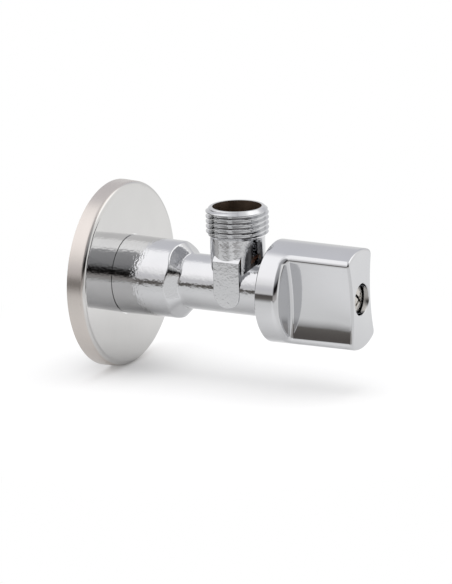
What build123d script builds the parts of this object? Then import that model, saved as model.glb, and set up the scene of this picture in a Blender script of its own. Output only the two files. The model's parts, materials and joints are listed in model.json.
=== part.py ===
from build123d import *
import math
import os

# Chromed angle valve for a basin or cistern supply.
# X runs along the valve axis from the wall to the handle, and X = 0 is the wall.
# Z runs up along the outlet axis. All sizes are millimetres.
# The valve is modelled shut, with its wall plate pushed back against the wall.

# Wall side: male thread that screws into the wall, then the round barrel
inlet_major_radius = 20.955 / 2
inlet_minor_radius = 18.631 / 2
inlet_pitch = 1.814
inlet_thread_length = 9.5
inlet_bore_radius = 7.25
inlet_bore_depth = 25.0
inlet_throat_radius = 5.0
inlet_throat_cone = 3.0
barrel_back = 2.0
barrel_rear_radius = 10.7
barrel_rear_edge = 0.4
barrel_length = 19.4
barrel_draft = 1.05

# Forged shoulder from the barrel to the neck, with six facets for a spanner
shoulder_angle = 46.0
shoulder_stock = 0.6
shoulder_overlap = 1.2
facet_half_width = 2.8
brow_fillet = 0.8
foot_fillet = 0.9
neck_radius = 7.45
neck_past_outlet = 12.35

# Outlet: round boss that rises from the neck, with a male thread at its top
outlet_x = 37.85
outlet_top = 21.7
outlet_boss_radius = 7.3
outlet_major_radius = 16.662 / 2
outlet_minor_radius = 14.950 / 2
outlet_pitch = 1.337
outlet_thread_length = 7.9
outlet_mouth_radius = 6.5
outlet_mouth_depth = 4.2
outlet_bore_radius = 5.1
outlet_rim_radius = 7.25
thread_chamfer = 0.9
inlet_chamfer = 1.2
inlet_undercut = 0.8
inlet_mouth_step = 0.15
crest_room = 0.01
thread_root_inset = 0.12

# Flat pads on the front and back of the outlet block, sloped in at the top
pad_offset = 0.25
pad_half_width = 3.85
pad_face = 7.62
pad_top = 9.7
pad_slope = 1.6
pad_arc_centre = -0.55
pad_edge = 0.2

# Valve seat and chamber inside the neck
seat_before_outlet = 6.85
seat_hole_radius = 3.5
seat_rim_radius = 4.4
seat_web = 3.5
seat_rim_height = 1.4
chamber_radius = 5.7
headwork_thread_radius = 6.0
headwork_thread_length = 10.2

# Wall plate: a pressed shell of thin stainless sheet, loose on the barrel
plate_front_radius = 25.0
plate_flare = 0.25
plate_depth = 5.1
plate_sheet = 0.7
plate_corner = 1.4
plate_inner_corner = 0.35
plate_hole_clearance = 0.12

# Clearances
running_clearance = 0.05
thread_clearance = 0.02
axial_play = 0.05
end_gap = 0.3
edge_find = 0.01

# Headwork: the bonnet screws into the neck and holds the spindle
gasket_thickness = 0.8
bonnet_flange_thickness = 2.6
bonnet_across_flats = 15.0
bonnet_corner_chamfer = 0.6
bonnet_corner_radius = 8.8
bonnet_skirt_length = 10.0
bonnet_shoulder_depth = 1.8
plunger_across_flats = 9.0

# Spindle: it turns but does not rise, and its screw draws the plunger back
spindle_radius = 3.5
spindle_screw_radius = 3.0
spindle_collar_radius = 4.45
spindle_collar_thickness = 1.5
thrust_washer_thickness = 0.5
ring_groove_radius = 2.45
ring_groove_width = 1.2
ring_offsets = (1.5, 3.5)
ring_squeeze = 0.02
clip_groove_radius = 2.9
clip_thickness = 0.6
clip_radius = 4.5
clip_opening = 2.6
drive_across_flats = 5.4
drive_fit = 0.05
spindle_tapping_depth = 10.0

# Plunger and seat washer
plunger_travel = 3.5
seat_washer_thickness = 2.0
seat_washer_radius = 4.3
washer_cup_lip = 1.0
plunger_rim_radius = 4.9
plunger_rim_thickness = 2.0
plate_washer_radius = 2.7
plate_washer_thickness = 0.5
seat_screw_head_radius = 2.1
seat_screw_head_height = 1.1
seat_screw_radius = 1.25
seat_screw_length = 4.2
seat_screw_slot_width = 0.6
seat_screw_slot_depth = 0.5

# Handle: one casting with a round collar and a waisted grip bar
handle_cover = 0.8
handle_length = 24.5
handle_back_radius = 13.63
handle_taper = 0.25
collar_length = 6.6
cup_depth = 5.2
cup_wall = 1.53
handle_back_edge = 0.3
grip_angle = 3.5
grip_waist = 5.6
recess_hollow = 42.0
recess_corner = 1.0
lip_edge = 1.7
end_edge = 0.8
grip_wall = 1.7
pocket_inner = 5.4
pocket_cover = 3.03
pocket_end_wall = 2.6

# Handle screw with its spring washer, sunk in a round hole in the end face
screw_hole_radius = 4.15
screw_hole_depth = 4.2
screw_hole_edge = 0.2
screw_web = 1.9
screw_shank_clearance_radius = 2.2
screw_radius = 1.75
screw_length = 9.5
screw_head_radius = 3.5
screw_rim_height = 1.6
screw_dome_height = 0.9
screw_cross_arm = 2.1
screw_cross_width = 0.85
screw_cross_depth = 1.5
screw_cross_taper = 12.0
cross_turn = 45.0
spring_washer_thickness = 0.9
spring_washer_radius = 3.45
spring_washer_gap = 0.7
spring_washer_turn = 30.0

# Places that follow from the sizes above
inlet_mouth = barrel_back - inlet_thread_length
barrel_front = barrel_back + barrel_length
draft_slope = math.tan(math.radians(barrel_draft))
barrel_front_radius = barrel_rear_radius - barrel_length * draft_slope
shoulder_slope = math.tan(math.radians(shoulder_angle))
facet_centre = facet_half_width / math.tan(math.radians(30))
corner_rise = facet_centre / math.cos(math.radians(30)) - facet_centre
shoulder_start = barrel_front - (shoulder_stock + corner_rise) / shoulder_slope
shoulder_start_radius = barrel_front_radius + shoulder_stock
shoulder_length = (shoulder_start_radius - neck_radius + shoulder_overlap) / shoulder_slope
shoulder_end = shoulder_start + shoulder_length
plate_rear_radius = plate_front_radius + plate_flare
plate_hole_radius = barrel_rear_radius + plate_hole_clearance
pad_centre_x = outlet_x + pad_offset
seat_plane = outlet_x - seat_before_outlet
neck_end = outlet_x + neck_past_outlet
headwork_thread_start = neck_end - headwork_thread_length
gasket_radius = neck_radius - running_clearance
bonnet_nose = neck_end - bonnet_skirt_length
bonnet_shoulder = neck_end - bonnet_shoulder_depth
gasket_front = neck_end + gasket_thickness
bonnet_front = gasket_front + bonnet_flange_thickness
spindle_bore_radius = spindle_radius + running_clearance
thrust_washer_back = bonnet_shoulder - axial_play - thrust_washer_thickness
collar_back = thrust_washer_back - spindle_collar_thickness
clip_back = bonnet_front + axial_play
drive_back = clip_back + clip_thickness
socket_across_flats = plunger_across_flats + 2 * running_clearance
plunger_tail = collar_back - end_gap - plunger_travel
washer_back = seat_plane + seat_washer_thickness
plunger_front = washer_back - washer_cup_lip
plunger_rim_back = plunger_front + plunger_rim_thickness
seat_screw_tip = seat_plane - plate_washer_thickness + seat_screw_length
plunger_bore_end = seat_screw_tip + end_gap
spindle_tip = plunger_bore_end + plunger_travel + end_gap
handle_back = neck_end - handle_cover
handle_end = handle_back + handle_length
handle_end_radius = handle_back_radius - handle_taper
collar_front = handle_back + collar_length
cup_radius = handle_back_radius - cup_wall
cup_floor = handle_back + cup_depth
pocket_outer = handle_back_radius - pocket_cover
screw_seat = handle_end - screw_hole_depth
spindle_end = screw_seat - screw_web
screw_head_back = screw_seat + spring_washer_thickness
screw_head_rim = screw_head_back + screw_rim_height
screw_head_top = screw_head_rim + screw_dome_height


def turned_plane(x, angle):
    """Plane square to the valve axis at x, its own axes turned about that axis by angle degrees."""
    turn = math.radians(angle)
    return Plane(origin=(x, 0, 0), x_dir=(0, math.cos(turn), math.sin(turn)), z_dir=(1, 0, 0))


def reach(edge):
    """How far the middle of an edge lies from the valve axis."""
    middle = edge @ 0.5
    return math.hypot(middle.Y, middle.Z)


def threaded_spigot(plane, major_radius, minor_radius, pitch, length, outline):
    """Right-hand pipe thread on a round core, from a plane's origin along its normal.

    The outline lists the radius and height of each corner of the finished spigot.
    """
    crest_half = pitch / 12
    flank_slope = (pitch * 5 / 12 - crest_half) / (major_radius - minor_radius)
    root_half = pitch * 5 / 12 + thread_root_inset * flank_slope
    start = -pitch / 2
    with BuildPart() as spigot:
        with BuildSketch(Plane.XY.offset(-pitch)):
            Circle(minor_radius)
        extrude(amount=length + 2 * pitch)
        with BuildLine():
            Helix(pitch, length + pitch, minor_radius, center=(0, 0, start))
        with BuildSketch(Plane(origin=(minor_radius, 0, start), x_dir=(1, 0, 0), z_dir=(0, -1, 0))):
            with BuildLine():
                Polyline(
                    (-thread_root_inset, -root_half),
                    (major_radius - minor_radius, -crest_half),
                    (major_radius - minor_radius, crest_half),
                    (-thread_root_inset, root_half),
                    close=True,
                )
            make_face()
        sweep(is_frenet=True)
        with BuildSketch(Plane.XZ):
            with BuildLine():
                Polyline((0, 0), *outline, (0, length), close=True)
            make_face()
        revolve(axis=Axis.Z, mode=Mode.INTERSECT)
    return plane.from_local_coords(spigot.part)


def ring(inner_radius, outer_radius, back, thickness):
    """Flat ring about the valve axis."""
    with BuildPart() as flat_ring:
        with BuildSketch(turned_plane(back, 0)):
            Circle(outer_radius)
            Circle(inner_radius, mode=Mode.SUBTRACT)
        extrude(amount=thickness)
    return flat_ring.part


def save(piece, label):
    piece.label = label
    export_step(piece, f"parts/{label}.step")


os.makedirs("parts", exist_ok=True)

# Wall plate
with BuildPart() as escutcheon:
    with BuildSketch(Plane.XY):
        with BuildLine():
            Polyline(
                (0, plate_rear_radius),
                (plate_depth, plate_front_radius),
                (plate_depth, plate_hole_radius),
                (plate_depth - plate_sheet, plate_hole_radius),
                (plate_depth - plate_sheet, plate_front_radius - plate_sheet),
                (0, plate_rear_radius - plate_sheet),
                close=True,
            )
        make_face()
        inner_corner = (plate_depth - plate_sheet, plate_front_radius - plate_sheet)
        fillet(vertices().sort_by_distance(inner_corner)[0], plate_inner_corner)
        fillet(vertices().sort_by_distance((plate_depth, plate_front_radius))[0], plate_corner)
    revolve(axis=Axis.X)
save(escutcheon.part, "escutcheon")

# Outlet spigot: threaded, chamfered at the mouth and run out at the foot
thread_foot = outlet_top - outlet_thread_length
outlet_axis = Axis((outlet_x, 0, 0), (0, 0, 1))
outlet_section = Plane(origin=(outlet_x, 0, 0), x_dir=(1, 0, 0), z_dir=(0, -1, 0))
outlet_crest = outlet_major_radius + crest_room
outlet_spigot = threaded_spigot(
    Plane(origin=(outlet_x, 0, thread_foot), x_dir=(1, 0, 0), z_dir=(0, 0, 1)),
    outlet_major_radius,
    outlet_minor_radius,
    outlet_pitch,
    outlet_thread_length,
    (
        (outlet_boss_radius, 0),
        (outlet_crest, outlet_crest - outlet_boss_radius),
        (outlet_crest, outlet_thread_length - thread_chamfer),
        (outlet_rim_radius, outlet_thread_length),
    ),
)

# Inlet spigot: threaded up to a short undercut at the barrel
inlet_crest = inlet_major_radius + crest_room
inlet_spigot = threaded_spigot(
    Plane(origin=(barrel_back, 0, 0), x_dir=(0, 1, 0), z_dir=(-1, 0, 0)),
    inlet_major_radius,
    inlet_minor_radius,
    inlet_pitch,
    inlet_thread_length,
    (
        (inlet_minor_radius, 0),
        (inlet_minor_radius, inlet_undercut),
        (inlet_crest, inlet_undercut + inlet_chamfer),
        (inlet_crest, inlet_thread_length - inlet_chamfer),
        (inlet_minor_radius - inlet_mouth_step, inlet_thread_length),
    ),
)

# Two flat pads, each sloped in towards the boss at its top
with BuildPart() as pads:
    with BuildSketch(Plane.XZ):
        with Locations((pad_centre_x, (pad_top + pad_arc_centre) / 2)):
            Rectangle(2 * pad_half_width, pad_top - pad_arc_centre)
        with Locations((pad_centre_x, pad_arc_centre)):
            Circle(pad_half_width)
    extrude(amount=pad_face, both=True)
    chamfer(edges().filter_by(Axis.X).sort_by(Axis.Z)[-2:], pad_slope)
    for side in (-1, 1):
        pad = faces().sort_by_distance((pad_centre_x, side * pad_face, pad_arc_centre))[0]
        fillet(pad.edges(), pad_edge)

# Body: one hot forging, turned and threaded at its three ends
with BuildPart() as body:
    # Barrel and shoulder: a six-sided cone with large corner radii, cut round by the barrel
    with BuildSketch(turned_plane(shoulder_start, 0)):
        RegularPolygon(shoulder_start_radius, 6, major_radius=False, rotation=30)
        fillet(vertices(), shoulder_start_radius - facet_centre)
    extrude(amount=shoulder_length, taper=shoulder_angle)
    with BuildSketch(turned_plane(barrel_back, 0)):
        Circle(barrel_rear_radius + shoulder_stock)
    extrude(amount=shoulder_start - barrel_back)
    with BuildSketch(Plane.XY):
        with BuildLine():
            Polyline(
                (barrel_back, 0),
                (barrel_back, barrel_rear_radius - barrel_rear_edge),
                (barrel_back + barrel_rear_edge, barrel_rear_radius - barrel_rear_edge * draft_slope),
                (shoulder_end, barrel_rear_radius - (shoulder_end - barrel_back) * draft_slope),
                (shoulder_end, 0),
                close=True,
            )
        make_face()
    revolve(axis=Axis.X, mode=Mode.INTERSECT)
    brow = edges().filter_by(
        lambda edge: (edge @ 0.5).X > shoulder_start and reach(edge) > barrel_front_radius - edge_find
    )
    fillet(brow, brow_fillet)
    with BuildSketch(turned_plane(shoulder_start, 0)):
        Circle(neck_radius)
    extrude(amount=neck_end - shoulder_start)
    foot = edges().filter_by(
        lambda edge: barrel_front < (edge @ 0.5).X < shoulder_end
        and abs(reach(edge) - neck_radius) < edge_find
    )
    fillet(foot, foot_fillet)
    add(inlet_spigot)

    # Outlet block: a round boss that meets the neck in a mitre, with its pads
    with BuildSketch(Plane.XY):
        with Locations((outlet_x, 0)):
            Circle(outlet_boss_radius)
    extrude(amount=thread_foot)
    add(outlet_spigot)
    add(pads.part)

    # Waterway: inlet bore, seat hole, chamber with its raised seat, headwork thread
    with BuildSketch(Plane.XY):
        with BuildLine():
            Polyline(
                (inlet_mouth, 0),
                (inlet_mouth, inlet_bore_radius),
                (inlet_mouth + inlet_bore_depth, inlet_bore_radius),
                (inlet_mouth + inlet_bore_depth + inlet_throat_cone, inlet_throat_radius),
                (seat_plane - seat_web, inlet_throat_radius),
                (seat_plane - seat_web, seat_hole_radius),
                (seat_plane, seat_hole_radius),
                (seat_plane, seat_rim_radius),
                (seat_plane - seat_rim_height, seat_rim_radius),
                (seat_plane - seat_rim_height, chamber_radius),
                (headwork_thread_start, chamber_radius),
                (headwork_thread_start, headwork_thread_radius),
                (neck_end, headwork_thread_radius),
                (neck_end, 0),
                close=True,
            )
        make_face()
    revolve(axis=Axis.X, mode=Mode.SUBTRACT)
    with BuildSketch(outlet_section):
        with BuildLine():
            Polyline(
                (0, 0),
                (outlet_bore_radius, 0),
                (outlet_bore_radius, outlet_top - outlet_mouth_depth),
                (outlet_mouth_radius, outlet_top - outlet_mouth_depth),
                (outlet_mouth_radius, outlet_top),
                (0, outlet_top),
                close=True,
            )
        make_face()
    revolve(axis=outlet_axis, mode=Mode.SUBTRACT)
save(body.part, "body")

# Flat gasket between the neck and the bonnet
save(ring(headwork_thread_radius + end_gap, gasket_radius, neck_end, gasket_thickness), "bonnet_gasket")

# Bonnet: a threaded skirt with a hexagonal socket that keeps the plunger from turning
with BuildPart() as bonnet:
    with BuildSketch(turned_plane(bonnet_nose, 0)):
        Circle(headwork_thread_radius - thread_clearance)
    extrude(amount=gasket_front - bonnet_nose)
    with BuildSketch(turned_plane(gasket_front, 0)):
        RegularPolygon(bonnet_across_flats / 2, 6, major_radius=False)
    extrude(amount=bonnet_flange_thickness)
    with BuildSketch(Plane.XY):
        with BuildLine():
            Polyline(
                (bonnet_nose, 0),
                (bonnet_nose, bonnet_across_flats / 2),
                (gasket_front, bonnet_across_flats),
                (bonnet_front - bonnet_corner_chamfer, bonnet_corner_radius),
                (bonnet_front, bonnet_across_flats / 2),
                (bonnet_front, 0),
                close=True,
            )
        make_face()
    revolve(axis=Axis.X, mode=Mode.INTERSECT)
    with BuildSketch(turned_plane(bonnet_nose, 0)):
        RegularPolygon(socket_across_flats / 2, 6, major_radius=False)
    extrude(amount=bonnet_shoulder - bonnet_nose, mode=Mode.SUBTRACT)
    with BuildSketch(turned_plane(bonnet_shoulder, 0)):
        Circle(spindle_bore_radius)
    extrude(amount=bonnet_front - bonnet_shoulder, mode=Mode.SUBTRACT)
save(bonnet.part, "bonnet")

# Spindle: screw, collar, grooved journal and a square that drives from the handle
with BuildPart() as spindle:
    with BuildSketch(Plane.XY):
        with BuildLine():
            Polyline(
                (spindle_tip, 0),
                (spindle_tip, spindle_screw_radius),
                (collar_back, spindle_screw_radius),
                (collar_back, spindle_collar_radius),
                (thrust_washer_back, spindle_collar_radius),
                (thrust_washer_back, spindle_radius),
                (spindle_end, spindle_radius),
                (spindle_end, 0),
                close=True,
            )
        make_face()
        for offset in ring_offsets:
            with Locations((bonnet_shoulder + offset, spindle_radius)):
                Rectangle(ring_groove_width, 2 * (spindle_radius - ring_groove_radius), mode=Mode.SUBTRACT)
        with Locations((clip_back + clip_thickness / 2, spindle_radius)):
            Rectangle(clip_thickness, 2 * (spindle_radius - clip_groove_radius), mode=Mode.SUBTRACT)
    revolve(axis=Axis.X)
    with BuildSketch(turned_plane(drive_back, grip_angle)):
        Circle(spindle_radius + end_gap)
        Rectangle(drive_across_flats, drive_across_flats, mode=Mode.SUBTRACT)
    extrude(amount=spindle_end - drive_back, mode=Mode.SUBTRACT)
    with BuildSketch(turned_plane(spindle_end - spindle_tapping_depth, 0)):
        Circle(screw_radius + thread_clearance)
    extrude(amount=spindle_tapping_depth, mode=Mode.SUBTRACT)
save(spindle.part, "spindle")

# Two rubber rings that seal the journal in the bonnet
ring_section_radius = (spindle_bore_radius - ring_groove_radius) / 2 - ring_squeeze
ring_centre_radius = (spindle_bore_radius + ring_groove_radius) / 2
for offset, place in zip(ring_offsets, ("inner", "outer")):
    with BuildPart() as seal_ring:
        with BuildSketch(Plane.XY):
            with Locations((bonnet_shoulder + offset, ring_centre_radius)):
                Circle(ring_section_radius)
        revolve(axis=Axis.X)
    save(seal_ring.part, f"spindle_seal_ring_{place}")

# Slippery washer that the collar turns on
save(
    ring(
        spindle_radius + thread_clearance,
        spindle_collar_radius,
        thrust_washer_back,
        thrust_washer_thickness,
    ),
    "thrust_washer",
)

# Open clip that keeps the spindle from being pushed in
with BuildPart() as spindle_clip:
    with BuildSketch(turned_plane(clip_back, grip_angle)):
        Circle(clip_radius)
        Circle(clip_groove_radius, mode=Mode.SUBTRACT)
        with Locations((0, -clip_radius)):
            Rectangle(clip_opening, 2 * clip_radius, mode=Mode.SUBTRACT)
    extrude(amount=clip_thickness)
save(spindle_clip.part, "spindle_clip")

# Plunger: hexagonal nut with a round cup for the seat washer
with BuildPart() as plunger:
    with BuildSketch(turned_plane(plunger_front, 0)):
        Circle(plunger_rim_radius)
    extrude(amount=plunger_rim_thickness)
    with BuildSketch(turned_plane(plunger_front, 0)):
        Circle(seat_washer_radius + thread_clearance)
    extrude(amount=washer_cup_lip, mode=Mode.SUBTRACT)
    with BuildSketch(turned_plane(plunger_rim_back, 0)):
        RegularPolygon(plunger_across_flats / 2, 6, major_radius=False)
    extrude(amount=plunger_tail - plunger_rim_back)
    with BuildSketch(turned_plane(plunger_bore_end, 0)):
        Circle(spindle_screw_radius + running_clearance)
    extrude(amount=plunger_tail - plunger_bore_end, mode=Mode.SUBTRACT)
    with BuildSketch(turned_plane(washer_back, 0)):
        Circle(seat_screw_radius + thread_clearance)
    extrude(amount=plunger_bore_end - washer_back, mode=Mode.SUBTRACT)
save(plunger.part, "plunger")

# Rubber seat washer, held by a small plate and a slotted screw
save(
    ring(seat_screw_radius + thread_clearance, seat_washer_radius, seat_plane, seat_washer_thickness),
    "seat_washer",
)
save(
    ring(
        seat_screw_radius + thread_clearance,
        plate_washer_radius,
        seat_plane - plate_washer_thickness,
        plate_washer_thickness,
    ),
    "seat_washer_plate",
)
seat_screw_seat = seat_plane - plate_washer_thickness
with BuildPart() as seat_washer_screw:
    with BuildSketch(turned_plane(seat_screw_seat - seat_screw_head_height, 0)):
        Circle(seat_screw_head_radius)
    extrude(amount=seat_screw_head_height)
    with BuildSketch(turned_plane(seat_screw_seat, 0)):
        Circle(seat_screw_radius)
    extrude(amount=seat_screw_length)
    with BuildSketch(turned_plane(seat_screw_seat - seat_screw_head_height, 0)):
        Rectangle(2 * seat_screw_head_radius, seat_screw_slot_width)
    extrude(amount=seat_screw_slot_depth, mode=Mode.SUBTRACT)
save(seat_washer_screw.part, "seat_washer_screw")

# One finger recess beside the grip bar: a large hollow with a rounded corner at the collar
with BuildPart() as finger_recess:
    with BuildSketch(turned_plane(collar_front, grip_angle)):
        with Locations((grip_waist + recess_hollow, 0)):
            Circle(recess_hollow)
    extrude(amount=handle_length)
    fillet(faces().sort_by(Axis.X)[0].edges(), recess_corner)

# Handle casting: closed at the collar's front, hollow behind and inside the grip bar
with BuildPart() as handle:
    with BuildSketch(Plane.XY):
        with BuildLine():
            Polyline(
                (handle_back, 0),
                (handle_back, handle_back_radius),
                (handle_end, handle_end_radius),
                (handle_end, 0),
                close=True,
            )
        make_face()
        chamfer(vertices().sort_by(Axis.Y)[-1], handle_back_edge)
    revolve(axis=Axis.X)
    for side in (0, 180):
        add(finger_recess.part.rotate(Axis.X, side), mode=Mode.SUBTRACT)
    recess_rim = edges().filter_by(
        lambda edge: collar_front - edge_find < (edge @ 0.5).X < handle_end - edge_find
        and reach(edge) > cup_radius
    )
    fillet(recess_rim, lip_edge)
    fillet(faces().sort_by(Axis.X)[-1].edges(), end_edge)
    with BuildSketch(turned_plane(handle_back, 0)):
        Circle(cup_radius)
    extrude(amount=cup_depth, mode=Mode.SUBTRACT)
    with BuildSketch(turned_plane(cup_floor, grip_angle)):
        for side in (-1, 1):
            with Locations((0, side * (pocket_inner + pocket_outer) / 2)):
                Rectangle(2 * (grip_waist - grip_wall), pocket_outer - pocket_inner)
    extrude(amount=handle_end - pocket_end_wall - cup_floor, mode=Mode.SUBTRACT)
    with BuildSketch(turned_plane(cup_floor, grip_angle)):
        Rectangle(drive_across_flats + 2 * drive_fit, drive_across_flats + 2 * drive_fit)
    extrude(amount=spindle_end + drive_fit - cup_floor, mode=Mode.SUBTRACT)
    with BuildSketch(turned_plane(spindle_end, 0)):
        Circle(screw_shank_clearance_radius)
    extrude(amount=screw_seat - spindle_end, mode=Mode.SUBTRACT)
    with BuildSketch(turned_plane(screw_seat, 0)):
        Circle(screw_hole_radius)
    extrude(amount=screw_hole_depth, mode=Mode.SUBTRACT)
    chamfer(edges().filter_by(GeomType.CIRCLE).sort_by_distance((handle_end, 0, 0))[0], screw_hole_edge)
save(handle.part, "handle")

# Spring washer: a split ring
with BuildPart() as spring_washer:
    with BuildSketch(turned_plane(screw_seat, spring_washer_turn)):
        Circle(spring_washer_radius)
        Circle(screw_radius + end_gap, mode=Mode.SUBTRACT)
        with Locations((0, spring_washer_radius)):
            Rectangle(spring_washer_gap, 2 * spring_washer_radius, mode=Mode.SUBTRACT)
    extrude(amount=spring_washer_thickness)
save(spring_washer.part, "handle_spring_washer")

# Handle screw: pan head with a cross recess
dome_radius = (screw_head_radius**2 + screw_dome_height**2) / (2 * screw_dome_height)
with BuildPart() as handle_screw:
    with BuildSketch(Plane.XY):
        with BuildLine():
            Polyline(
                (screw_head_top, 0),
                (screw_head_back - screw_length, 0),
                (screw_head_back - screw_length, screw_radius),
                (screw_head_back, screw_radius),
                (screw_head_back, screw_head_radius),
                (screw_head_rim, screw_head_radius),
            )
            RadiusArc((screw_head_rim, screw_head_radius), (screw_head_top, 0), dome_radius)
        make_face()
    revolve(axis=Axis.X)
    with BuildSketch(turned_plane(screw_head_top, cross_turn)):
        Rectangle(2 * screw_cross_arm, screw_cross_width)
        Rectangle(screw_cross_width, 2 * screw_cross_arm)
    extrude(amount=-screw_cross_depth, taper=screw_cross_taper, mode=Mode.SUBTRACT)
save(handle_screw.part, "handle_screw")
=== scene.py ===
import json
import math

import bpy
from mathutils import Matrix, Vector


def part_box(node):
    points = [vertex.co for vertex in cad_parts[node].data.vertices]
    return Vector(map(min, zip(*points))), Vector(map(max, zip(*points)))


# A chromed angle valve on a pale studio table. Every length is in metres.
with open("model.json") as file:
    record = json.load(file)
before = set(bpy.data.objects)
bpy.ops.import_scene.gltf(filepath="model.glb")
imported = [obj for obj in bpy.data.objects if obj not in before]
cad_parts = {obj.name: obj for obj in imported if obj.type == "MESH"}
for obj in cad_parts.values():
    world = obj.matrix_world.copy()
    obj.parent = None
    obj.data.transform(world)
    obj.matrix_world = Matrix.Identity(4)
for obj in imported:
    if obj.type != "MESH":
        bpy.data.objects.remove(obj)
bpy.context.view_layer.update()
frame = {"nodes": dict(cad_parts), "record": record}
nodes = frame["nodes"]
mounts = {mount["name"]: mount for mount in frame["record"]["mounts"]}

MM = 0.001


def mount_size(mount, size):
    """One size of a mount, such as the radius of a bore."""
    return mounts[mount]["dims"][size] * MM


# Places that the finishes and the table follow. The valve axis is x, and the outlet stands up from it.
OUTLET_X, _, OUTLET_TOP = mounts["outlet_thread"]["pos_m"]
OUTLET_THREAD_FOOT = OUTLET_TOP - mount_size("outlet_thread", "length_mm")
BOSS_FOOT = 3.0 * MM
BARREL_BACK = 2.0 * MM
VALVE_BORE_LIMIT = mount_size("inlet_bore", "r_mm") + 0.1 * MM
OUTLET_BORE_LIMIT = mount_size("outlet_mouth", "r_mm") + 0.03 * MM
PLATE_FRONT, _, PLATE_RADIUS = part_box("escutcheon")[1]
PLATE_FACE_EDGE = PLATE_RADIUS - 0.6 * MM
PLATE_RIM_EDGE = PLATE_RADIUS - 0.3 * MM
PLATE_INSIDE = PLATE_RADIUS - 0.75 * MM
HANDLE_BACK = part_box("handle")[0].x
HANDLE_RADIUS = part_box("handle")[1].z
CUP_FLOOR = HANDLE_BACK + 5.3 * MM
CUP_WALL = HANDLE_RADIUS - 1.58 * MM
SCREW_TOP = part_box("handle_screw")[1].x
SCREW_RECESS_FLOOR = SCREW_TOP - 0.5 * MM
SCREW_RECESS_RADIUS = 2.1 * MM
TABLE_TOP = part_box("escutcheon")[0].z - 0.05 * MM

# Colours of the finishes, each a pair of tones that the finish moves between
CHROME = (0.60, 0.605, 0.62), (0.66, 0.665, 0.675)
# Bore brass: tarnished, and darkened further as painted shade inside the bores
BORE_BRASS_AND_SHADE = (0.10, 0.07, 0.05), (0.36, 0.28, 0.22)
# Bonnet brass: painted shade from the handle that covers it
BONNET_BRASS_IN_SHADE = (0.10, 0.07, 0.05), (0.24, 0.185, 0.14)
CLEAN_BRASS = (0.50, 0.33, 0.12), (0.66, 0.46, 0.19)
POLISHED_STEEL = (0.61, 0.605, 0.597), (0.69, 0.685, 0.675)
SATIN_STEEL = (0.57, 0.53, 0.50), (0.70, 0.655, 0.62)
SPRING_STEEL = (0.28, 0.27, 0.26), (0.46, 0.45, 0.44)
NICKEL = (0.50, 0.475, 0.44), (0.72, 0.70, 0.67)
FIBRE = (0.24, 0.075, 0.04), (0.42, 0.16, 0.085)
RUBBER = (0.012, 0.012, 0.013), (0.03, 0.03, 0.031)
PLASTIC = (0.74, 0.74, 0.71), (0.84, 0.84, 0.82)
PAPER = (0.9, 0.9, 0.9), (0.915, 0.915, 0.915)

# Single tones, all painted shade: the unlit cup of the handle (also rough plating), the hollow back of
# the plate and the screw's cross recess
CUP_PLATING_AND_SHADE = (0.2, 0.2, 0.205)
PLATE_BACK_SHADE = (0.22, 0.21, 0.2)
SCREW_RECESS_SHADE = (0.02, 0.016, 0.013)


class Value:
    """A number, colour or vector in a finish. Python's signs work on it as on a number."""

    def __init__(self, shade, socket):
        self.shade = shade
        self.socket = socket

    def __add__(self, other):
        return self.shade.maths("ADD", self, other)

    def __radd__(self, other):
        return self.shade.maths("ADD", other, self)

    def __sub__(self, other):
        return self.shade.maths("SUBTRACT", self, other)

    def __rsub__(self, other):
        return self.shade.maths("SUBTRACT", other, self)

    def __mul__(self, other):
        return self.shade.maths("MULTIPLY", self, other)

    def __rmul__(self, other):
        return self.shade.maths("MULTIPLY", other, self)

    def __neg__(self):
        return self.shade.maths("MULTIPLY", self, -1)

    def __pow__(self, other):
        return self.shade.maths("POWER", self, other)


def opaque(colour):
    """A written colour at full cover. A colour that comes from a node is left as it is."""
    return colour if isinstance(colour, Value) else (*colour, 1.0)


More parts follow.
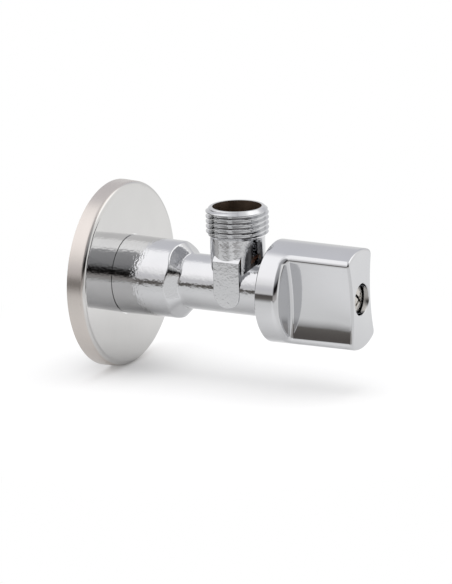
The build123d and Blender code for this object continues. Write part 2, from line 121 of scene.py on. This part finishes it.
class Shade:
    """One node tree while it is being written: a finish, or the room's light."""

    def __init__(self, tree):
        self.tree = tree
        tree.nodes.clear()

    def node(self, kind, settings=None, inputs=None, output=0):
        """One node: its settings first, then the values or links of its sockets."""
        made = self.tree.nodes.new(kind)
        for name, setting in (settings or {}).items():
            if name == "stops":
                ramp = made.color_ramp
                while len(ramp.elements) < len(setting):
                    ramp.elements.new(1.0)
                for stop, (place, colour) in zip(ramp.elements, setting):
                    stop.position = place
                    stop.color = (*colour, 1.0)
            else:
                setattr(made, name, setting)
        for name, given in (inputs or {}).items():
            if isinstance(given, Value):
                self.tree.links.new(given.socket, made.inputs[name])
            else:
                made.inputs[name].default_value = given
        return Value(self, made.outputs[output]) if made.outputs else None

    def maths(self, operation, first, second=0.0):
        return self.node("ShaderNodeMath", {"operation": operation}, {0: first, 1: second})

    def smooth(self, value, low, high):
        """0 below low, 1 above high and a smooth rise between."""
        return self.node(
            "ShaderNodeMapRange",
            {"interpolation_type": "SMOOTHSTEP"},
            {"Value": value, "From Min": low, "From Max": high},
        )

    def fade(self, value, low, high):
        """1 below low, 0 above high and a smooth fall between."""
        return 1 - self.smooth(value, low, high)

    def either(self, first, second):
        """A mask where either of two masks is."""
        return self.maths("MAXIMUM", first, second)

    def blend(self, share, first, second):
        """First colour where share is 0, second colour where it is 1."""
        return self.node(
            "ShaderNodeMix",
            {"data_type": "RGBA"},
            {0: share, 6: opaque(first), 7: opaque(second)},
            output=2,
        )

    def layer(self, share, under, over):
        """One shader over another, where share is 1."""
        return self.node("ShaderNodeMixShader", {}, {0: share, 1: under, 2: over})

    def point(self):
        """The point on the object, in the valve's own frame."""
        return self.node("ShaderNodeTexCoord", output="Object")

    def place(self):
        """The same point, followed by its x, y and z."""
        point = self.point()
        return point, *self.parts(point)

    def parts(self, vector):
        """The x, y and z of a vector."""
        split = self.node("ShaderNodeSeparateXYZ", {}, {0: vector}).socket.node
        return [Value(self, split.outputs[i]) for i in range(3)]

    def vector(self, x, y, z):
        return self.node("ShaderNodeCombineXYZ", {}, {0: x, 1: y, 2: z})

    def noise(self, vector, scale, detail=2.0, roughness=0.5):
        return self.node(
            "ShaderNodeTexNoise",
            {},
            {"Vector": vector, "Scale": scale, "Detail": detail, "Roughness": roughness},
        )

    def bump(self, height, depth, under=None):
        """Relief of that depth in metres for a height from 0 to 1."""
        inputs = {"Height": height, "Strength": 1.0, "Distance": depth}
        if under is not None:
            inputs["Normal"] = under
        return self.node("ShaderNodeBump", {}, inputs)

    def surface(self, colour, roughness, relief, metallic=0.0):
        shader = self.node(
            "ShaderNodeBsdfPrincipled",
            {},
            {"Base Color": colour, "Metallic": metallic, "Roughness": roughness, "Normal": relief},
        )
        self.node("ShaderNodeOutputMaterial", {}, {"Surface": shader})

    def metal(self, colour, roughness, relief):
        self.surface(colour, roughness, relief, metallic=1.0)

    def grained(self, grain, tones, gloss, depth, metallic=0.0):
        """One grain that moves the tone, the roughness and the height together.

        Gloss is the lowest roughness and how much the grain adds to it.
        """
        lowest, added = gloss
        relief = self.bump(grain, depth)
        self.surface(self.blend(grain, *tones), lowest + added * grain, relief, metallic)


def distance(first, second):
    """Distance from an axis, from the two parts across it."""
    return (first * first + second * second) ** 0.5


def finish(name, write):
    """A material whose nodes the given function writes."""
    material = bpy.data.materials.new(name)
    material.use_nodes = True
    write(Shade(material.node_tree))
    return material


def forged_chrome(shade):
    """Bright chrome on a hot forging: dimpled skin, crisp machined threads, bare brass inside, darkened
    with painted shade.
    """
    edge = 0.03 * MM
    point, x, y, z = shade.place()
    in_valve = shade.fade(distance(y, z), VALVE_BORE_LIMIT, VALVE_BORE_LIMIT + edge)
    in_outlet = shade.fade(distance(x - OUTLET_X, y), OUTLET_BORE_LIMIT, OUTLET_BORE_LIMIT + edge)
    above_foot = shade.smooth(z, BOSS_FOOT, BOSS_FOOT + 0.1 * MM)
    inside = shade.either(in_valve, in_outlet * above_foot)
    outlet_thread = shade.smooth(z, OUTLET_THREAD_FOOT, OUTLET_THREAD_FOOT + 0.2 * MM)
    inlet_thread = shade.fade(x, BARREL_BACK - 0.2 * MM, BARREL_BACK)
    skin = (1 - shade.either(outlet_thread, inlet_thread)) * (1 - inside)

    # Dimples of the blasted forging under the plating, with slow waves below them
    dimples = shade.noise(point, 1450.0)
    dents = shade.noise(point, 620.0, detail=1.5, roughness=0.4)
    waves = shade.noise(shade.vector(x * 0.6, y, z), 210.0, detail=1.5)
    grain = shade.noise(point, 2600.0)
    relief = shade.bump(dimples * skin, 0.05 * MM)
    relief = shade.bump(dents * skin, 0.032 * MM, relief)
    relief = shade.bump(waves * skin, 0.06 * MM, relief)
    relief = shade.bump(grain, 0.003 * MM, relief)

    # Water stains run down the brass of the outlet; the dark brass tones are tarnish deepened into
    # painted shade inside the bores
    round_outlet = shade.maths("ARCTAN2", y, x - OUTLET_X)
    down_outlet = shade.vector(round_outlet * 2.6, z * 40.0, 0.0)
    streaks = shade.noise(down_outlet, 1.0, detail=3.0, roughness=0.6)
    colour = shade.blend(inside, shade.blend(waves, *CHROME), shade.blend(streaks, *BORE_BRASS_AND_SHADE))
    plated = 0.04 + 0.04 * grain
    bare = 0.34 + 0.2 * grain
    shade.metal(colour, plated * (1 - inside) + bare * inside, relief)


def cast_chrome(shade):
    """Mirror chrome on a smooth casting, with the faint waviness of hand polishing."""
    point, x, y, z = shade.place()
    # The cup inside the handle: rough thin plating, painted dark as the shade it lies in
    behind = shade.fade(x, CUP_FLOOR - 0.05 * MM, CUP_FLOOR + 0.05 * MM)
    hollow = behind * shade.fade(distance(y, z), CUP_WALL, CUP_WALL + 0.06 * MM)
    waves = shade.noise(point, 95.0, detail=1.0, roughness=0.4)
    haze = shade.noise(point, 1500.0, detail=3.0, roughness=0.6)
    relief = shade.bump(haze, 0.0012 * MM, shade.bump(waves, 0.05 * MM))
    colour = shade.blend(hollow, shade.blend(waves, *CHROME), CUP_PLATING_AND_SHADE)
    shade.metal(colour, 0.035 + 0.05 * haze + 0.25 * hollow, relief)


def plate_steel(shade):
    """Stainless sheet: a polished face, and a satin rim brushed round its edge."""
    point, x, y, z = shade.place()
    out = distance(y, z)
    turn = shade.maths("ARCTAN2", z, y)
    rim = shade.smooth(out, PLATE_FACE_EDGE, PLATE_RIM_EDGE)
    # The inside of the hollow back: satin, painted dark as shade
    back = shade.fade(x, PLATE_FRONT - 0.75 * MM, PLATE_FRONT - 0.45 * MM)
    inner = back * shade.fade(out, PLATE_INSIDE, PLATE_INSIDE + 0.2 * MM)
    brushed = shade.either(rim, inner)
    round_rim = shade.vector(turn * 1.2, x * 9000.0, out * 4000.0)
    lines = shade.noise(round_rim, 1.0, detail=4.0, roughness=0.65)
    round_face = shade.vector(turn * 0.6, out * 2600.0, 0.0)
    spun = shade.noise(round_face, 1.0, detail=3.0, roughness=0.55)
    cloud = shade.noise(point, 70.0, detail=3.0, roughness=0.55)
    relief = shade.bump(lines * brushed, 0.012 * MM)
    relief = shade.bump(spun * (1 - brushed), 0.0015 * MM, relief)
    relief = shade.bump(cloud, 0.05 * MM, relief)
    front = shade.blend(rim, shade.blend(cloud, *POLISHED_STEEL), shade.blend(lines, *SATIN_STEEL))
    mirror = 0.03 + 0.04 * spun
    satin = 0.2 + 0.1 * lines
    roughness = mirror * (1 - brushed) + satin * brushed
    shade.metal(shade.blend(inner, front, PLATE_BACK_SHADE), roughness, relief)


def nickel_screw(shade):
    """Nickel-plated screw steel, with painted shade down in the cross recess."""
    point, x, y, z = shade.place()
    grain = shade.noise(point, 2400.0, detail=3.0, roughness=0.6)
    sunk = shade.fade(x, SCREW_RECESS_FLOOR, SCREW_RECESS_FLOOR + 0.14 * MM)
    recess = sunk * shade.fade(distance(y, z), SCREW_RECESS_RADIUS, SCREW_RECESS_RADIUS + 0.2 * MM)
    colour = shade.blend(recess, shade.blend(grain, *NICKEL), SCREW_RECESS_SHADE)
    shade.metal(colour, 0.16 + 0.16 * grain, shade.bump(grain, 0.006 * MM))


def lathe_brass(shade, tones, gloss):
    """Brass from the lathe, stained between two tones, with fine feed lines round the valve axis."""
    point, x, y, z = shade.place()
    across_feed = shade.vector(x * 9000.0, distance(y, z) * 5000.0, 0.0)
    lines = shade.noise(across_feed, 1.0)
    stain = shade.noise(point, 260.0, detail=4.0, roughness=0.6)
    shade.metal(shade.blend(stain, *tones), gloss + 0.16 * lines, shade.bump(lines, 0.006 * MM))


def turned_brass(shade):
    """Clean brass of the pieces that the water washes."""
    lathe_brass(shade, CLEAN_BRASS, 0.2)


def shaded_bonnet_brass(shade):
    """Brass of the bonnet, painted dark as the shade of the handle over it, with stains that vary its
    tone.
    """
    lathe_brass(shade, BONNET_BRASS_IN_SHADE, 0.34)


def spring_steel(shade):
    """Dark spring steel with a drawn grain."""
    grain = shade.noise(shade.point(), 1800.0, detail=4.0, roughness=0.6)
    shade.grained(grain, SPRING_STEEL, gloss=(0.25, 0.2), depth=0.005 * MM, metallic=1.0)


def pressed_fibre(shade):
    """Red-brown pressed fibre."""
    fibres = shade.noise(shade.point(), 1500.0, detail=6.0, roughness=0.7)
    shade.grained(fibres, FIBRE, gloss=(0.62, 0.2), depth=0.03 * MM)


def seal_rubber(shade):
    """Black nitrile rubber with a faint moulded grain."""
    grain = shade.noise(shade.point(), 2200.0, detail=4.0, roughness=0.6)
    shade.grained(grain, RUBBER, gloss=(0.45, 0.2), depth=0.01 * MM)


def slippery_plastic(shade):
    """White slippery plastic, a little waxy."""
    grain = shade.noise(shade.point(), 1200.0, detail=3.0)
    shade.grained(grain, PLASTIC, gloss=(0.36, 0.14), depth=0.004 * MM)


FINISHES = {
    forged_chrome: ["body"],
    cast_chrome: ["handle"],
    plate_steel: ["escutcheon"],
    nickel_screw: ["handle_screw"],
    shaded_bonnet_brass: ["bonnet"],
    turned_brass: ["spindle", "plunger", "seat_washer_plate", "seat_washer_screw"],
    spring_steel: ["handle_spring_washer", "spindle_clip"],
    pressed_fibre: ["bonnet_gasket"],
    seal_rubber: ["seat_washer", "spindle_seal_ring_inner", "spindle_seal_ring_outer"],
    slippery_plastic: ["thrust_washer"],
}
for write, names in FINISHES.items():
    material = finish(write.__name__, write)
    for name in names:
        mesh = nodes[name].data
        mesh.materials.clear()
        mesh.materials.append(material)


# The table, seen from above. The valve lies over y = 0, and the front is towards minus y.
# A reach is a pair: where a change starts and where it is complete.
VALVE_MIDDLE_X = 34 * MM
PLATE_FOOT_X = 2.5 * MM
TABLE_RADIUS = 200 * MM
TABLE_SIDES = 96
SHADOW_REACH = 30 * MM, 100 * MM
PLATE_SHADE_REACH = 0, 22 * MM
VALVE_SHADE_REACH = 20 * MM, 80 * MM
FRONT_DUSK_REACH = 60 * MM, 200 * MM
LIT_STRIP_LEFT = 45 * MM, 58 * MM
LIT_STRIP_RIGHT = 90 * MM, 120 * MM
LIT_STRIP_SLANT = 0.25
WHITE_LIGHT = (1, 1, 1)
DUSK_LIGHT = (1, 0.98, 0.97)


def mirrored_shade(shade, x, y, clear_of_plate):
    """How far the metal mirrors the table as dusk, a painted shade: under the valve, and in front past
    the light.
    """
    under_outlet = shade.smooth(x, 30 * MM, 50 * MM)
    under_handle = shade.smooth(x, 60 * MM, 80 * MM)
    under_valve = 0.26 - 0.14 * under_outlet + 0.12 * under_handle
    shaded = under_valve * shade.fade(y, *VALVE_SHADE_REACH)
    across = x - LIT_STRIP_SLANT * y
    lit_strip = shade.smooth(across, *LIT_STRIP_LEFT) * shade.fade(across, *LIT_STRIP_RIGHT)
    unlit = shade.smooth(-y, *FRONT_DUSK_REACH) * (1 - lit_strip)
    return shade.either(shaded * clear_of_plate, unlit)


def table_paper(shade):
    """White paper under the valve. It keeps the shadow and fades to plain white further out."""
    point, x, y, _ = shade.place()
    out = shade.smooth(distance(x - VALVE_MIDDLE_X, y), *SHADOW_REACH)
    clear_of_plate = shade.smooth(distance(x - PLATE_FOOT_X, y), *PLATE_SHADE_REACH)
    speckle = shade.blend(shade.noise(point, 900.0), *PAPER)
    paper = shade.node("ShaderNodeBsdfDiffuse", {}, {"Color": speckle})
    light = shade.node("ShaderNodeEmission", {}, {"Color": opaque(WHITE_LIGHT), "Strength": 1.0})
    dusk = shade.node("ShaderNodeEmission", {}, {"Color": opaque(DUSK_LIGHT), "Strength": 0.3})
    camera_ray = shade.node("ShaderNodeLightPath", output="Is Camera Ray")
    mirror_ray = shade.node("ShaderNodeLightPath", output="Is Glossy Ray")
    near_camera_share = 0.2 + 0.3 * clear_of_plate
    near_mirror_share = 0.3 * clear_of_plate
    near_share = camera_ray * near_camera_share + mirror_ray * near_mirror_share
    far_share = shade.either(camera_ray, mirror_ray) * out
    lifted = shade.layer(near_share + (1 - near_share) * far_share, paper, light)
    # Painted shade, seen only in reflections: the table turns to dusk under the valve and in front
    dim = mirror_ray * mirrored_shade(shade, x, y, clear_of_plate)
    shade.node("ShaderNodeOutputMaterial", {}, {"Surface": shade.layer(dim, lifted, dusk)})


def round_table():
    """A round sheet of paper just under the plate's lowest point."""
    turns = [2 * math.pi * i / TABLE_SIDES for i in range(TABLE_SIDES)]
    points = [
        (VALVE_MIDDLE_X + TABLE_RADIUS * math.cos(turn), TABLE_RADIUS * math.sin(turn), TABLE_TOP)
        for turn in turns
    ]
    mesh = bpy.data.meshes.new("table")
    mesh.from_pydata(points, [], [list(range(TABLE_SIDES))])
    mesh.materials.append(finish("table_paper", table_paper))
    table = bpy.data.objects.new("table", mesh)
    bpy.context.scene.collection.objects.link(table)


# The room. Each side has rows of elevation in degrees, then the red, green and blue light seen there.
ROOM_GAIN = 1.8
FRONT_LEFT = [
    (-90, 0.92, 0.92, 0.92),
    (-16, 0.70, 0.70, 0.70),
    (-10, 0.42, 0.41, 0.40),
    (-5, 0.15, 0.14, 0.13),
    (2, 0.10, 0.09, 0.085),
    (5, 0.76, 0.75, 0.75),
    (14, 0.75, 0.74, 0.76),
    (20, 0.88, 0.87, 0.88),
    (23, 1.04, 1.03, 1.03),
    (38, 1.34, 1.32, 1.33),
    (64, 1.38, 1.37, 1.38),
    (80, 0.85, 0.85, 0.87),
    (90, 0.75, 0.75, 0.77),
]
FRONT_RIGHT = [
    (-90, 0.92, 0.92, 0.92),
    (-16, 0.72, 0.71, 0.71),
    (-7, 0.56, 0.54, 0.53),
    (1, 0.42, 0.40, 0.39),
    (6, 0.09, 0.083, 0.08),
    (9, 0.012, 0.011, 0.011),
    (17.5, 0.01, 0.009, 0.009),
    (22, 0.10, 0.098, 0.10),
    (30, 0.35, 0.35, 0.36),
    (42, 0.43, 0.43, 0.44),
    (57, 0.52, 0.52, 0.53),
    (90, 0.70, 0.70, 0.72),
]
BACK_RIGHT = [
    (-90, 0.93, 0.93, 0.93),
    (0, 1.0, 0.995, 0.99),
    (18, 0.98, 0.975, 0.97),
    (40, 1.05, 1.04, 1.03),
    (46, 1.48, 1.47, 1.46),
    (56, 1.5, 1.49, 1.48),
    (64, 1.7, 1.69, 1.68),
    (74, 1.0, 1.0, 1.0),
    (90, 0.75, 0.75, 0.77),
]
BACK_LEFT = [
    (-90, 0.93, 0.93, 0.93),
    (0, 0.78, 0.78, 0.78),
    (12, 0.79, 0.79, 0.80),
    (24, 0.72, 0.72, 0.75),
    (60, 0.80, 0.80, 0.84),
    (90, 0.75, 0.75, 0.77),
]

# Bearings in degrees from the front, rising to the right, over which one side turns into the next
FRONT_SEAM = -8.0, 22.0
RIGHT_SEAM = 68.0, 92.0
BACK_SEAM = 150.0, 176.0
LEFT_SEAM = -128.0, -92.0


def sky(shade, height, rows):
    """Light by height for one side of the room. Height runs from 0 straight down to 1 straight up."""
    stops = [((up + 90) / 180, [part / ROOM_GAIN for part in light]) for up, *light in rows]
    return shade.node("ShaderNodeValToRGB", {"stops": stops}, {0: height})


def room(shade):
    """A white studio: soft boxes high at the left and the right rear, and a dark gap at table height."""
    x, y, z = shade.parts(shade.node("ShaderNodeTexCoord", output="Generated"))
    height = shade.maths("ARCSINE", z) * (1 / math.pi) + 0.5
    bearing = shade.maths("ARCTAN2", x, -y) * (180 / math.pi)
    front_left = sky(shade, height, FRONT_LEFT)
    front_right = sky(shade, height, FRONT_RIGHT)
    back_right = sky(shade, height, BACK_RIGHT)
    back_left = sky(shade, height, BACK_LEFT)
    front = shade.blend(shade.smooth(bearing, *FRONT_SEAM), front_left, front_right)
    right = shade.blend(shade.smooth(bearing, *RIGHT_SEAM), front, back_right)
    at_back_left = shade.fade(bearing, *LEFT_SEAM) + shade.smooth(bearing, *BACK_SEAM)
    light = shade.blend(at_back_left, right, back_left)
    camera_ray = shade.node("ShaderNodeLightPath", output="Is Camera Ray")
    white = [part / ROOM_GAIN for part in WHITE_LIGHT]
    seen = shade.blend(camera_ray, light, white)
    glow = shade.node("ShaderNodeBackground", {}, {"Color": seen, "Strength": ROOM_GAIN})
    shade.node("ShaderNodeOutputWorld", {}, {"Surface": glow})


def lamp(name, place, size, watts):
    """Soft square lamp aimed at the valve. The metal doesn't mirror it."""
    light = bpy.data.lights.new(name, "AREA")
    light.shape = "SQUARE"
    light.size = size
    light.energy = watts
    made = bpy.data.objects.new(name, light)
    made.location = place
    aim = Vector((VALVE_MIDDLE_X, 0, 0)) - Vector(place)
    made.rotation_euler = aim.to_track_quat("-Z", "Y").to_euler()
    made.visible_glossy = False
    bpy.context.scene.collection.objects.link(made)


# The camera: its bearing to the right of the front, its height above level and its roll
CAMERA_SIDE = math.radians(28.35)
CAMERA_ABOVE = math.radians(14.98)
CAMERA_ROLL = math.radians(-1.44)
CAMERA_TARGET = Vector((33.95 * MM, 0, -2.13 * MM))
CAMERA_AWAY = 0.8
LENS_MM = 185.9
SENSOR_MM = 36.0


def camera():
    """Long lens at the height and side from which the valve is seen."""
    level = Vector((math.cos(CAMERA_SIDE), math.sin(CAMERA_SIDE), 0))
    towards = Vector((math.sin(CAMERA_SIDE), -math.cos(CAMERA_SIDE), 0))
    back = math.cos(CAMERA_ABOVE) * towards + Vector((0, 0, math.sin(CAMERA_ABOVE)))
    upright = back.cross(level)
    right = math.cos(CAMERA_ROLL) * level + math.sin(CAMERA_ROLL) * upright
    up = math.cos(CAMERA_ROLL) * upright - math.sin(CAMERA_ROLL) * level
    data = bpy.data.cameras.new("camera")
    data.sensor_width = SENSOR_MM
    data.lens = LENS_MM
    data.clip_start = 0.05
    data.clip_end = 10.0
    made = bpy.data.objects.new("camera", data)
    turned = Matrix((right, up, back)).transposed().to_4x4()
    made.matrix_world = Matrix.Translation(CAMERA_TARGET + CAMERA_AWAY * back) @ turned
    bpy.context.scene.collection.objects.link(made)
    bpy.context.scene.camera = made


scene = bpy.context.scene
scene.view_settings.view_transform = "Standard"
scene.world = bpy.data.worlds.new("studio")
scene.world.use_nodes = True
room(Shade(scene.world.node_tree))
round_table()
lamp("soft_box", place=(0.03, 0.06, 0.8), size=0.6, watts=3.0)
camera()
